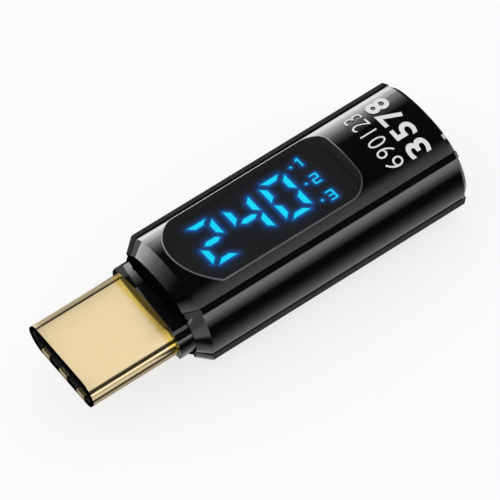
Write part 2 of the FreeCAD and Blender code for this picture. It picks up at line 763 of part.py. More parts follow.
def plug_shell():
    """The bright shell of the plug, a round-ended tube."""
    body = new_body("plug_shell")
    pad(body, "YZ_Plane", "0", [racetrack("plug_width", "plug_height")], SHELL_END)
    inside = racetrack("(plug_width - 2 * plug_wall)", "(plug_height - 2 * plug_wall)")
    pocket(body, "YZ_Plane", SHELL_END, [inside], SHELL_END)
    return keep(body)


def plug_core():
    """The plastic core of the plug: mouth, tongue slot, contact channels and side bays for latches."""
    body = new_body("plug_core")
    pad(body, "YZ_Plane", "core_setback", [racetrack(CORE_WIDTH, CORE_HEIGHT)], f"{CORE_END} - core_setback")
    mouth = rounded(f"({SLOT_WIDTH} / 2 + fit)", MOUTH_HALF_HEIGHT, "mouth_corner")
    pocket(body, "YZ_Plane", "0", [mouth], "mouth_depth", forward=True)
    slot = centred(SLOT_WIDTH, "(tongue_thickness + slot_rise)")
    pocket(body, "YZ_Plane", "0", [slot], "slot_depth", forward=True)
    channels = channel_pair("contact_width", BOARD_TOP, f"({BOARD_TOP} + contact_thickness + channel_rise)")
    cut = pocket(body, "YZ_Plane", CORE_END, channels, f"{CORE_END} - contact_start + end_gap")
    repeat(body, cut, "Y_Axis", "contact_pitch", "contact_count")
    inner = f"({LATCH_Y} - latch_thickness / 2 - latch_clearance)"
    outer = "(plug_width / 2)"
    high = "(latch_height / 2 + latch_clearance)"
    bays = [rectangle(inner, outer, f"-{high}", high), rectangle(f"-{outer}", f"-{inner}", f"-{high}", high)]
    bay_end = "(latch_pivot + latch_boss + end_gap)"
    pocket(body, "YZ_Plane", bay_end, bays, f"{bay_end} - latch_tip + latch_clearance")
    # each bay is open to the slot where the latch's hook passes
    tip = f"({LATCH_Y} - latch_thickness / 2 - latch_hook - latch_clearance)"
    doors = [rectangle(tip, outer, f"-{high}", high), rectangle(f"-{outer}", f"-{tip}", f"-{high}", high)]
    door_end = "(latch_tip + latch_hook_length + latch_clearance)"
    pocket(body, "YZ_Plane", door_end, doors, "latch_hook_length + 2 * latch_clearance")
    pocket(body, "YZ_Plane", CORE_END, [PLATE_SLOT], f"{CORE_END} - slot_depth - end_gap")
    half = f"({SHIELD_WIDTH} / 2 + fit / 2)"
    recess = rectangle("shield_start", "(shield_start + shield_length + fit)", f"-{half}", half)
    depth = "(shield_thickness + fit / 2)"
    pocket(body, "XY_Plane", f"({CORE_HEIGHT} / 2)", [recess], depth)
    pocket(body, "XY_Plane", f"(-{CORE_HEIGHT} / 2)", [recess], depth, forward=True)
    cut = pocket(body, "XY_Plane", f"({CORE_HEIGHT} / 2)", [shield_pad("fit")], CORE_HEIGHT)
    repeat(body, cut, "Y_Axis", SHIELD_PAD_PITCH, "shield_pad_count")
    return keep(body)


def channel_pair(width, low, high):
    """Front view of the first contact's channel, above the axis and below it, with play all round."""
    left = f"({FIRST_CONTACT} - {width} / 2 - fit / 2)"
    right = f"({FIRST_CONTACT} + {width} / 2 + fit / 2)"
    low = f"({low} - fit / 2)"
    high = f"({high} + fit / 2)"
    return [rectangle(left, right, low, high), rectangle(left, right, f"-{high}", f"-{low}")]


def shield_pad(grow):
    """Outline of the first of the spring pads behind the plug's lip."""
    x = "(shield_start + shield_pad_length)"
    first = f"(-{SHIELD_PAD_PITCH} * (shield_pad_count - 1) / 2)"
    return centred(f"(shield_pad_length + {grow})", f"(shield_pad_width + {grow})", x, first)


def plug_shield(label, sign):
    """A thin ground spring over or under the core, with pads that reach the mouth."""
    body = new_body(label)
    half = f"({SHIELD_WIDTH} / 2)"
    outline = rectangle("(shield_start + fit / 2)", "(shield_start + shield_length)", f"-{half}", half)
    outer = f"({CORE_HEIGHT} / 2)"
    lip_face = f"({MOUTH_HALF_HEIGHT} - shield_pad_lift)"
    plate_base = f"({outer} - shield_thickness)" if sign > 0 else f"-{outer}"
    pad_base = lip_face if sign > 0 else f"-{outer}"
    pad(body, "XY_Plane", plate_base, [outline], "shield_thickness")
    block = pad(body, "XY_Plane", pad_base, [shield_pad("0")], f"{outer} - {lip_face}")
    repeat(body, block, "Y_Axis", SHIELD_PAD_PITCH, "shield_pad_count")
    return keep(body)


def contact_loop(sign):
    """Side view of a plug contact: bowed tip, straight stem and a tail on the board."""
    start = "contact_start"
    crest = "(contact_start + bow_length)"
    crest_end = "(contact_start + 2 * bow_length)"
    stem = "(contact_start + 3 * bow_length)"
    end = f"({CORE_END} + pad_length)"
    bow = f"({BOARD_TOP} - contact_bow)"
    lower = [(start, BOARD_TOP), (crest, bow), (crest_end, bow), (stem, BOARD_TOP), (end, BOARD_TOP)]
    return thickened(lower, "contact_thickness", sign)


def thickened(lower, thickness, sign):
    """A strip of a thickness over a side view's lower line, turned upside down for the lower row."""
    upper = [(x, f"({z} + {thickness})") for x, z in reversed(lower)]
    if sign > 0:
        return lower + upper
    return [(x, f"-{z}") for x, z in reversed(lower + upper)]


def contact_row(label, loop, width):
    """A row of equal contacts, side by side across the part."""
    body = new_body(label)
    # the XZ plane faces -Y, so the first contact starts at its +Y side
    first = pad(body, "XZ_Plane", f"(-{FIRST_CONTACT} - {width} / 2)", [loop], width)
    repeat(body, first, "Y_Axis", "contact_pitch", "contact_count")
    return keep(body)


def ground_plate(label, start, end):
    """A thin steel plate on the axis, between two rows of contacts."""
    body = new_body(label)
    outline = rectangle(start, end, f"-{PLATE_WIDTH} / 2", f"{PLATE_WIDTH} / 2")
    pad(body, "XY_Plane", "-plate_thickness / 2", [outline], "plate_thickness")
    return keep(body)


def latch(label, side):
    """A side latch of the plug: a spring arm with a hook at its tip and a boss at its root."""
    body = new_body(label)
    middle = f"({side}{LATCH_Y})"
    outer = f"({side}({LATCH_Y} + latch_thickness / 2))"
    inner = f"({side}({LATCH_Y} - latch_thickness / 2))"
    hook = f"({side}({LATCH_Y} - latch_thickness / 2 - latch_hook))"
    arm = [
        ("latch_pivot", outer),
        ("latch_tip", outer),
        ("latch_tip", inner),
        ("(latch_tip + latch_hook_length / 3)", hook),
        ("(latch_tip + latch_hook_length * 2 / 3)", hook),
        ("(latch_tip + latch_hook_length)", inner),
        ("latch_pivot", inner),
    ]
    if side == "-":
        arm.reverse()
    boss = round_loop("latch_pivot", middle, "latch_boss")
    pad(body, "XY_Plane", "-latch_height / 2", [arm], "latch_height")
    pad(body, "XY_Plane", "-latch_height / 2", [boss], "latch_height")
    return keep(body)


# ---- socket -----------------------------------------------------------------------------------


def socket_shell():
    """The steel shell of the socket."""
    body = new_body("socket_shell")
    outside = racetrack(f"({SOCKET_WIDTH} + 2 * socket_wall)", f"({SOCKET_HEIGHT} + 2 * socket_wall)")
    pad(body, "YZ_Plane", SOCKET_BACK, [outside], "socket_length")
    pocket(body, "YZ_Plane", SOCKET_FACE, [SOCKET_MOUTH], "socket_length")
    return keep(body)


def socket_tongue():
    """The plastic tongue of the socket on its base block."""
    body = new_body("socket_tongue")
    base = racetrack(f"({SOCKET_WIDTH} - fit)", f"({SOCKET_HEIGHT} - fit)")
    pad(body, "YZ_Plane", SOCKET_BACK, [base], "base_length")
    pad(body, "YZ_Plane", BASE_END, [centred(TONGUE_WIDTH, "step_thickness")], "step_length")
    tongue = rounded(f"({TONGUE_WIDTH} / 2)", "(tongue_thickness / 2)", "(tongue_thickness / 4)")
    pad(body, "YZ_Plane", BASE_END, [tongue], "tongue_length")
    front = f"({TONGUE_TIP} - notch_back - notch_length)"
    back = f"({TONGUE_TIP} - notch_back)"
    inner = f"({TONGUE_WIDTH} / 2 - notch_depth)"
    outer = f"({TONGUE_WIDTH} / 2 + notch_depth)"
    notches = [rectangle(front, back, inner, outer), rectangle(front, back, f"-{outer}", f"-{inner}")]
    pocket(body, "XY_Plane", "tongue_thickness", notches, "2 * tongue_thickness")
    grooves = channel_pair("strip_width", STRIP_FLOOR, f"({STRIP_FLOOR} + strip_thickness)")
    cut = pocket(body, "YZ_Plane", STRIP_TIP, grooves, f"{STRIP_TIP} - {SOCKET_BACK}")
    repeat(body, cut, "Y_Axis", "contact_pitch", "contact_count")
    wells = channel_pair("strip_width", STRIP_FLOOR, f"({BOARD_TOP} + strip_thickness)")
    cut = pocket(body, "YZ_Plane", SOCKET_BACK, wells, "base_length - end_gap", forward=True)
    repeat(body, cut, "Y_Axis", "contact_pitch", "contact_count")
    pocket(body, "YZ_Plane", SOCKET_BACK, [PLATE_SLOT], f"{STRIP_TIP} - {SOCKET_BACK}", forward=True)
    return keep(body)


def strip_loop(sign):
    """Side view of a socket contact: a tail on the board, a bend in the base and a strip on the tongue."""
    tail = f"({SOCKET_BACK} - pad_length)"
    bend = f"({SOCKET_BACK} + base_length / 2)"
    bend_end = f"({BASE_END} - 3 * end_gap)"
    tip = f"({STRIP_TIP} - end_gap)"
    lower = [(tail, BOARD_TOP), (bend, BOARD_TOP), (bend_end, STRIP_FLOOR), (tip, STRIP_FLOOR)]
    return thickened(lower, "strip_thickness", sign)


def check(things):
    """Stop if any object failed or any node has no sound solid."""
    failed = [thing.Name for thing in doc.Objects if {"Invalid", "Error"} & set(thing.State)]
    for node in things:
        if node.Shape.isNull() or not node.Shape.isValid() or not node.Shape.Solids:
            failed.append(node.Label)
    if failed:
        sys.exit("failed: " + ", ".join(failed))


def build():
    """Make every sub-part in turn."""
    housing_sleeve()
    front_collar()
    rear_frame()
    display_window()
    window_rim()
    led_display()
    digit_segments()
    unit_lamps()
    display_frame()
    main_board()
    chassis_tray()
    board_components()
    plug_shell()
    plug_core()
    plug_shield("plug_shield_upper", 1)
    plug_shield("plug_shield_lower", -1)
    contact_row("plug_contacts_upper", contact_loop(1), "contact_width")
    contact_row("plug_contacts_lower", contact_loop(-1), "contact_width")
    ground_plate("plug_ground_plate", "(slot_depth + 2 * end_gap)", CORE_END)
    latch("latch_left", "-")
    latch("latch_right", "")
    socket_shell()
    socket_tongue()
    contact_row("socket_contacts_upper", strip_loop(1), "strip_width")
    contact_row("socket_contacts_lower", strip_loop(-1), "strip_width")
    ground_plate("socket_ground_plate", SOCKET_BACK, f"({STRIP_TIP} - end_gap)")
    doc.recompute()
    check(nodes)
    os.makedirs("parts", exist_ok=True)
    for node in nodes:
        node.Shape.exportStep(f"parts/{node.Label}.step")
        print(node.Label, len(node.Shape.Solids), "solids", round(node.Shape.Volume, 3), "mm3")


build()
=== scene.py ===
import bmesh
import bpy
import numpy as np
from mathutils import Matrix, Vector
from mathutils.kdtree import KDTree


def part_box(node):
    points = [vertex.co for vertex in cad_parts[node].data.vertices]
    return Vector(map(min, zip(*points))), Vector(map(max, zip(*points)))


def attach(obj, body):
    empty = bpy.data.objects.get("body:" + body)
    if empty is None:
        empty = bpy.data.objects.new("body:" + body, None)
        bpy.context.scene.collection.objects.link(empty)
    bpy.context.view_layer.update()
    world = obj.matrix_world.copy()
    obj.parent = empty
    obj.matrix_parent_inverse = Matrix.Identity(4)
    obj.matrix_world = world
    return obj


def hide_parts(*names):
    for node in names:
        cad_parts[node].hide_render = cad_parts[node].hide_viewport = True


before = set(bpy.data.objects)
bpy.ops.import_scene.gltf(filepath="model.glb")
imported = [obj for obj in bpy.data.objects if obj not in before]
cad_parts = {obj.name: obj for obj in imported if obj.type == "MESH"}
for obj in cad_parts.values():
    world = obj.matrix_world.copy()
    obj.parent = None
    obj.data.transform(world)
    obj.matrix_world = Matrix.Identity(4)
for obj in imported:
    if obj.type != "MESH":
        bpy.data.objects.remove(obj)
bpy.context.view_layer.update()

MM = 0.001
ADAPTER = "adapter"

# ---- places worked out from the parts in the model --------------------------------------------

DIGITS_LOW, DIGITS_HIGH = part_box("digit_segments")
LAMPS_LOW, LAMPS_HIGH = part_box("unit_lamps")
SHELL_LOW, SHELL_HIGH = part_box("plug_shell")
SLEEVE_LOW, SLEEVE_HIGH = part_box("housing_sleeve")

AXIS_Z = (SHELL_LOW.z + SHELL_HIGH.z) / 2
CREST_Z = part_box("display_window")[1].z
CROWN_RADIUS = 9.53 * MM
CROWN_HALF = 2.43 * MM  # the flat arc ends here, and the tighter shoulder begins
SHOULDER_RADIUS = 4.27 * MM
LIGHT_DEPTH = 0.95 * MM  # how deep in the smoked window its lit layer is
LIT_Z = CREST_Z - LIGHT_DEPTH
BAR_WIDTH = 0.4 * MM
MIDDLE_WIDTH = 0.46 * MM
BAR_GAP = 0.15 * MM
DIGIT_PITCH = 3.1 * MM
DIGIT_WIDTH = DIGITS_HIGH.x - DIGITS_LOW.x - 2 * DIGIT_PITCH - BAR_WIDTH
DIGIT_HEIGHT = DIGITS_HIGH.y - DIGITS_LOW.y - BAR_WIDTH
DIGIT_X = [(DIGITS_LOW.x + DIGITS_HIGH.x) / 2 + n * DIGIT_PITCH for n in (-1, 0, 1)]
LAMP_X = (LAMPS_LOW.x + LAMPS_HIGH.x) / 2
LAMP_REACH = (LAMPS_HIGH.y - LAMPS_LOW.y) / 2
LAMP_RADIUS = (LAMPS_HIGH.x - LAMPS_LOW.x) / 2
LAMP_Y = [LAMP_REACH - LAMP_RADIUS, 0.0, LAMP_RADIUS - LAMP_REACH]
ROOT_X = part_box("front_collar")[0].x
TIP_X = SHELL_LOW.x


def crown_height(y, lift):
    """Height of the barrel's crown over y, plus a lift: the flat circle crest - R + sqrt(R^2 - y^2) up to
    |y| = h, then a tighter circle r, whose centre is on the line from the flat one's centre to that
    point."""
    side = np.abs(y)
    lean = CROWN_HALF / CROWN_RADIUS
    rise = np.sqrt(1 - lean**2)
    inset = CROWN_RADIUS - SHOULDER_RADIUS
    flat = CREST_Z - CROWN_RADIUS + np.sqrt(CROWN_RADIUS**2 - np.minimum(side, CROWN_HALF) ** 2)
    low = CREST_Z - CROWN_RADIUS + inset * rise
    shoulder = low + np.sqrt(SHOULDER_RADIUS**2 - np.square(np.maximum(side, CROWN_HALF) - inset * lean))
    return np.where(side < CROWN_HALF, flat, shoulder) + lift


# ---- camera -----------------------------------------------------------------------------------


LENS, SENSOR = 280.0, 36.0
FIELD = 35.09 * MM  # the width that the picture takes in at the adapter
LOOK_X = 0.35 * MM
NEAREST, FARTHEST = 0.01, 10.0
RIGHT = (0.8216, -0.5490, -0.1530)
BACK = (-0.2612, -0.6014, 0.7551)


def make_camera():
    """A long lens that looks down on the display from the plug's side, rolled a little."""
    right = Vector(RIGHT).normalized()
    back = Vector(BACK).normalized()
    up = back.cross(right).normalized()
    right = up.cross(back)
    data = bpy.data.cameras.new("long_lens")
    data.type = "PERSP"
    data.sensor_width = SENSOR
    data.lens = LENS
    distance = FIELD * data.lens / data.sensor_width
    target = Vector((LOOK_X, 0.0, AXIS_Z))
    camera = bpy.data.objects.new("camera", data)
    turn = Matrix((right, up, back)).transposed()
    camera.matrix_world = Matrix.Translation(target + back * distance) @ turn.to_4x4()
    data.clip_start = NEAREST
    data.clip_end = FARTHEST
    bpy.context.scene.collection.objects.link(camera)
    bpy.context.scene.camera = camera


make_camera()

# ---- node helpers -----------------------------------------------------------------------------


def linear(hex_colour):
    """Linear red, green, blue and an alpha of 1, from an sRGB hex value."""
    channels = [int(hex_colour[i:i + 2], 16) / 255 for i in (0, 2, 4)]
    return [c / 12.92 if c <= 0.04045 else ((c + 0.055) / 1.055) ** 2.4 for c in channels] + [1.0]


def add_node(tree, kind, inputs=None, **settings):
    """Add a node; inputs maps a socket's name or number to a value or to another node's output."""
    node = tree.nodes.new(kind)
    for name, value in settings.items():
        setattr(node, name, value)
    for name, value in (inputs or {}).items():
        if isinstance(value, bpy.types.NodeSocket):
            tree.links.new(value, node.inputs[name])
        else:
            node.inputs[name].default_value = value
    return node


def ramp(tree, factor, stops):
    """A straight-line ramp of grey levels over a factor from 0 to 1; stops are (place, level)."""
    node = add_node(tree, "ShaderNodeValToRGB", {"Fac": factor})
    elements = node.color_ramp.elements
    while len(elements) > 1:
        elements.remove(elements[-1])
    for number, (place, level) in enumerate(stops):
        element = elements[0] if number == 0 else elements.new(place)
        element.position = place
        element.color = (level, level, level, 1.0)
    return node.outputs[0]


def object_place(tree):
    """Coordinates on the piece itself, in metres."""
    return add_node(tree, "ShaderNodeTexCoord").outputs["Object"]


def axis_of(tree, place, axis):
    """One of the three coordinates of a place."""
    return add_node(tree, "ShaderNodeSeparateXYZ", {0: place}).outputs[axis]


def math_node(tree, operation, first, second=0.0):
    """One sum on two values."""
    return add_node(tree, "ShaderNodeMath", {0: first, 1: second}, operation=operation).outputs[0]


def grain(tree, size_mm, low, high, stretch=(1.0, 1.0, 1.0)):
    """A noise with grains of a real size in millimetres, spread between two values."""
    place = add_node(tree, "ShaderNodeVectorMath", {0: object_place(tree), 1: stretch}, operation="MULTIPLY")
    noise = add_node(
        tree, "ShaderNodeTexNoise", {"Vector": place.outputs[0], "Scale": 1 / (size_mm * MM), "Detail": 3.0}
    )
    return add_node(
        tree, "ShaderNodeMapRange", {"Value": noise.outputs[0], "To Min": low, "To Max": high}
    ).outputs[0]


def mix_colours(tree, factor, first, second):
    """A colour between two, each a linear colour or a node's output."""
    inputs = {"Factor": factor, 6: first, 7: second}
    return add_node(tree, "ShaderNodeMix", inputs, data_type="RGBA").outputs[2]


def tint(tree, factor, first, second):
    """A colour between two sRGB hex values."""
    return mix_colours(tree, factor, linear(first), linear(second))


def mix_shaders(tree, share, first, second):
    """A surface that is the first shader, and by its share the second."""
    return add_node(tree, "ShaderNodeMixShader", {0: share, 1: first, 2: second}).outputs[0]


def relief(tree, height, depth_mm):
    """A bump from a height between 0 and 1, as deep as given."""
    return add_node(tree, "ShaderNodeBump", {"Height": height, "Distance": depth_mm * MM}).outputs[0]


def empty_material(name):
    """A new material, and its node tree with nothing in it yet."""
    material = bpy.data.materials.new(name)
    material.use_nodes = True
    material.node_tree.nodes.clear()
    return material, material.node_tree


def mirror_ray(tree, ray):
    """1 for light on its way from a mirror or a clear piece, and else 0."""
    return math_node(tree, "MAXIMUM", ray.outputs["Is Glossy Ray"], ray.outputs["Is Transmission Ray"])


def surface(name, linked=None, **constants):
    """A material with one Principled surface; constants go on its sockets, written with underscores."""
    material, tree = empty_material(name)
    inputs = {key.replace("_", " "): value for key, value in constants.items()}
    shader = add_node(tree, "ShaderNodeBsdfPrincipled", inputs)
    for socket, make in (linked or {}).items():
        tree.links.new(make(tree), shader.inputs[socket])
    add_node(tree, "ShaderNodeOutputMaterial", {"Surface": shader.outputs[0]})
    return material


# ---- finishes ---------------------------------------------------------------------------------

SHOULDER_DEPTH = 0.02 * MM  # the sleeve's front shoulder, which stays dull
USUAL_GLOSS = 0.5
# painted shade: how wide the black band round the plug's tip is
SHADED_TIP_BAND = 0.14 * MM
PLATING_START, PLATING_FULL = 0.75 * MM, 0.35 * MM  # how far ahead of the collar the gold turns yellow


def half_gloss(tree):
    """The usual gloss of 0.5 where the lacquer is polished, and none on the flat shoulder by the collar."""
    shoulder = SLEEVE_LOW.x + SHOULDER_DEPTH
    polished = math_node(tree, "GREATER_THAN", axis_of(tree, object_place(tree), "X"), shoulder)
    return math_node(tree, "MULTIPLY", polished, USUAL_GLOSS)


def black_lacquer(name, gloss):
    """Piano-black lacquer over plated metal, polished: a black mirror with crisp, faintly uneven lights."""
    return surface(
        name,
        {"Roughness": lambda tree: grain(tree, 0.8, 0.02, 0.05), **gloss},
        Base_Color=linear("060607"),
        IOR=1.8,
    )


def smoked_acrylic():
    """Smoked acrylic with an anti-glare face: an even charcoal with no mirror in it, which lets the lit
    layer in it through."""
    return surface(
        "anti_glare_smoked_acrylic",
        {
            "Base Color": lambda tree: tint(tree, grain(tree, 0.25, 0.3, 0.7), "262627", "2C2C2D"),
            "Roughness": lambda tree: grain(tree, 0.12, 0.6, 0.7),
        },
        IOR=1.49,
        Specular_IOR_Level=0.02,
        Alpha=0.45,
    )


def cut_aluminium():
    """Diamond-cut aluminium edge: a hair-thin bright line, turned smooth with fine tool marks along it."""
    return surface(
        "diamond_cut_aluminium",
        {"Roughness": lambda tree: grain(tree, 0.1, 0.45, 0.6, (0.2, 1.0, 1.0))},
        Base_Color=linear("9A9A9C"),
        Metallic=1.0,
    )


def moulded(name, dark, light, low, high, pit_mm=0.12):
    """Nylon or polycarbonate from a spark-finished mould: a fine matt grain of small pits."""
    return surface(
        name,
        {
            "Base Color": lambda tree: tint(tree, grain(tree, 0.5, 0.0, 1.0), dark, light),
            "Roughness": lambda tree: grain(tree, pit_mm, low, high),
            "Normal": lambda tree: relief(tree, grain(tree, pit_mm, 0.0, 1.0), 0.006),
        },
        IOR=1.53,
    )


def shaded_tip_mask(tree):
    """1 on the band of painted shade round the plug's tip, and 0 behind it."""
    return math_node(tree, "LESS_THAN", axis_of(tree, object_place(tree), "X"), TIP_X + SHADED_TIP_BAND)


def gold_colour(tree):
    """Gold by the place along the plug: black at the tip, where shade is painted on, and yellower at the
    root, where the plating bath leaves more gold."""
    x = axis_of(tree, object_place(tree), "X")
    ends = {"From Min": ROOT_X - PLATING_START, "From Max": ROOT_X - PLATING_FULL}
    root = add_node(tree, "ShaderNodeMapRange", {"Value": x, **ends}).outputs[0]
    plain = tint(tree, grain(tree, 0.6, 0.2, 0.8), "EBD5A6", "F0DBB0")
    warm = mix_colours(tree, root, plain, linear("E6C562"))
    # the near-black 030303 on the tip band is painted shade, not the metal's own colour
    return mix_colours(tree, shaded_tip_mask(tree), warm, linear("030303"))


def gold_flash():
    """Flash gold over bright nickel: pale, warm and smooth, with the faint drag of the drawing die."""
    return surface(
        "flash_gold_on_nickel",
        {
            "Base Color": gold_colour,
            # the Specular Tint turns black on the tip band, which paints shade over the gold's reflection
            # there
            "Specular Tint": lambda tree: tint(tree, shaded_tip_mask(tree), "FFFFFF", "000000"),
            "Roughness": lambda tree: grain(tree, 0.3, 0.12, 0.17, (0.15, 1.0, 1.0)),
        },
        Metallic=1.0,
    )


def strip_metal(name, dark, light, low, high):
    """Stamped spring strip: rolled smooth, with short drag marks along the roll."""
    return surface(
        name,
        {
            "Base Color": lambda tree: tint(tree, grain(tree, 0.3, 0.0, 1.0), dark, light),
            "Roughness": lambda tree: grain(tree, 0.15, low, high, (0.2, 1.0, 1.0)),
        },
        Metallic=1.0,
    )


def circuit_laminate():
    """Glass-epoxy laminate under solder mask: deep green with the weave of the glass just showing."""
    return surface(
        "solder_masked_glass_epoxy",
        {
            "Base Color": lambda tree: tint(tree, grain(tree, 0.4, 0.0, 1.0), "0C3A22", "14502F"),
            "Roughness": lambda tree: grain(tree, 0.2, 0.3, 0.45),
        },
        IOR=1.55,
    )


def light_guide(name, colour, strength):
    """Clear acrylic light guide with a diffusing face, lit from under: it glows evenly to its edge."""
    return surface(
        name,
        {"Roughness": lambda tree: grain(tree, 0.2, 0.4, 0.5)},
        Base_Color=linear("0A2A38"),
        IOR=1.49,
        Specular_IOR_Level=0.1,
        Emission_Color=linear(colour),
        Emission_Strength=strength,
    )


GOLD = gold_flash()
LIT = light_guide("lit_display_acrylic", "00DCFF", 1.7)
BLACK_NYLON = moulded("spark_finished_black_nylon", "0E0E0F", "151516", 0.45, 0.6)
CHIP_RESIN = moulded("moulded_epoxy_resin", "17171A", "202023", 0.5, 0.65, 0.08)
BRONZE = strip_metal("phosphor_bronze_strip", "8A7A58", "988763", 0.3, 0.42)
STEEL = strip_metal("stamped_stainless_strip", "A9A9AC", "BDBDC0", 0.25, 0.38)
CERAMIC = moulded("fired_barium_titanate", "8C7256", "9C8163", 0.4, 0.55, 0.06)

FINISHES = {
    black_lacquer("polished_black_lacquer", {"Specular IOR Level": half_gloss}): ("housing_sleeve",),
    black_lacquer("polished_black_collar", {}): ("front_collar",),
    moulded("satin_black_polycarbonate", "0B0B0C", "101011", 0.3, 0.4): ("rear_frame",),
    smoked_acrylic(): ("display_window",),
    cut_aluminium(): ("window_rim",),
    moulded("matt_black_display_mask", "0C0C0D", "131314", 0.6, 0.7): ("led_display",),
    LIT: ("digit_segments", "unit_lamps"),
    BLACK_NYLON: ("display_frame", "chassis_tray", "plug_core", "socket_tongue"),
    circuit_laminate(): ("main_board",),
    CHIP_RESIN: ("controller_chip", "meter_chip", "identity_chip"),
    moulded("pressed_ferrite", "2A2A2C", "363638", 0.55, 0.7): ("power_inductor",),
    moulded("glazed_resistor_film", "101416", "1A2024", 0.25, 0.35): ("shunt_resistor",),
    CERAMIC: ("upper_capacitors", "lower_capacitors"),
    GOLD: (
        "display_pins",
        "plug_shell",
        "plug_contacts_upper",
        "plug_contacts_lower",
        "socket_contacts_upper",
        "socket_contacts_lower",
    ),
    BRONZE: ("plug_shield_upper", "plug_shield_lower", "latch_left", "latch_right"),
    STEEL: ("socket_shell", "plug_ground_plate", "socket_ground_plate"),
}
for finish, names in FINISHES.items():
    for name in names:
        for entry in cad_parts[name].material_slots:
            entry.material = finish

# ---- what shows on the display ----------------------------------------------------------------



def link_mesh(name, mesh, finish):
    """A new object in the scene for a mesh, with one finish."""
    mesh.materials.append(finish)
    item = bpy.data.objects.new(name, mesh)
    bpy.context.scene.collection.objects.link(item)
    return item


def new_mesh(name, points, faces):
    """A mesh of points and faces."""
    mesh = bpy.data.meshes.new(name)
    mesh.from_pydata(points.tolist(), [], faces.tolist())
    return mesh


def paint_points(mesh, name, values):
    """Give each point of a mesh a value that its finish can read by name."""
    attribute = mesh.attributes.new(name, "FLOAT", "POINT")
    attribute.data.foreach_set("value", values.astype(np.float32))


def add_piece(name, points, faces, finish):
    """Put points and faces into a new mesh object that rides on the adapter."""
    piece = link_mesh(name, new_mesh(name, points, faces), finish)
    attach(piece, ADAPTER)
    return piece


def grid_faces(rows, columns, copies=1):
    """Quads of rows x columns points, anticlockwise from above, repeated for a number of copies."""
    corner = (np.arange(rows - 1)[:, None] * columns + np.arange(columns - 1)).ravel()
    quads = np.stack([corner, corner + columns, corner + columns + 1, corner + 1], axis=1)
    return (np.arange(copies)[:, None, None] * rows * columns + quads).reshape(-1, 4)


def segment_ends(name):
    """End points of a seven-segment bar, from its letter, round a digit's middle."""
    half_x, half_y = DIGIT_WIDTH / 2, DIGIT_HEIGHT / 2
    corners = {
        "a": ((-half_x, half_y), (half_x, half_y)),
        "b": ((half_x, half_y), (half_x, 0.0)),
        "c": ((half_x, 0.0), (half_x, -half_y)),
        "d": ((half_x, -half_y), (-half_x, -half_y)),
        "e": ((-half_x, -half_y), (-half_x, 0.0)),
        "f": ((-half_x, 0.0), (-half_x, half_y)),
        "g": ((-half_x, 0.0), (half_x, 0.0)),
    }
    return corners[name]


READING = ("abged", "fbgc", "abcdef")  # 2, 4 and 0
BAR_GRID = (33, 7)  # points along and across a bar
POINT_START, POINT_SLOPE = 0.35, 1.3  # how a middle bar's two ends come to a point


def lit_bars():
    """Bars of the reading as arrays: start, end, and 1 where the bar is a middle one."""
    bars = [(x, segment_ends(letter), letter == "g") for x, lit in zip(DIGIT_X, READING) for letter in lit]
    start = np.array([(x + ends[0][0], ends[0][1]) for x, ends, middle in bars])
    end = np.array([(x + ends[1][0], ends[1][1]) for x, ends, middle in bars])
    return start, end, np.array([float(middle) for x, ends, middle in bars])


def lit_digits():
    """Each bar runs s (L/2 - gap - cut) along its line and t w/2 across it: the cut is (1 + t) w/2, so that
    its outer edge is long and its inner edge short, or (start + slope |t|) w/2 for a middle bar."""
    start, end, middle = lit_bars()
    along = end - start
    length = np.linalg.norm(along, axis=1)[:, None, None]
    along = along / length[:, 0]
    across = np.stack([along[:, 1], -along[:, 0]], axis=1)
    s, t = np.meshgrid(*(np.linspace(-1, 1, count) for count in BAR_GRID), indexing="ij")
    is_middle = middle[:, None, None] > 0
    half = np.where(is_middle, MIDDLE_WIDTH, BAR_WIDTH) / 2
    cut = np.where(is_middle, POINT_START + POINT_SLOPE * np.abs(t), 1 + t) * half
    run = s * (length / 2 - BAR_GAP - cut)
    centre = (start + end)[:, None, None] / 2
    flat = centre + along[:, None, None] * run[..., None] + across[:, None, None] * (t * half)[..., None]
    flat = flat.reshape(-1, 2)
    points = np.column_stack([flat, np.full(len(flat), LIT_Z)])
    piece = add_piece("lit_digits", points, grid_faces(*BAR_GRID, len(start)), LIT)
    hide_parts("digit_segments")
    return points


MARK_HEIGHT = 0.85 * MM
MARK_X = LAMP_X + 0.79 * MM
MARKS = {
    "1": ((-0.22, 0.28), (0.0, 0.5), (0.0, -0.5)),
    "2": ((-0.28, 0.5), (0.28, 0.5), (0.28, 0.0), (-0.28, 0.0), (-0.28, -0.5), (0.28, -0.5)),
    "3": ((-0.28, 0.5), (0.28, 0.5), (0.28, 0.0), (-0.2, 0.0), (0.28, 0.0), (0.28, -0.5), (-0.28, -0.5)),
}
STROKE_WIDTH = 0.11 * MM
DOT_RADIUS = 0.08 * MM
STROKE_GRID = (7, 3)  # points along and across a stroke
DOT_GRID = (4, 25)  # rings, and points round each
DOT_CENTRE = 0.02  # the innermost ring, as a share of the radius


def mark_strokes():
    """Start and end points of the strokes of 1, 2 and 3, one number beside each lamp."""
    lines = []
    for path, y in zip(MARKS.values(), LAMP_Y):
        places = [(MARK_X + right * MARK_HEIGHT, y + up * MARK_HEIGHT) for right, up in path]
        lines += zip(places[:-1], places[1:])
    ends = np.array(lines)
    return ends[:, 0], ends[:, 1]


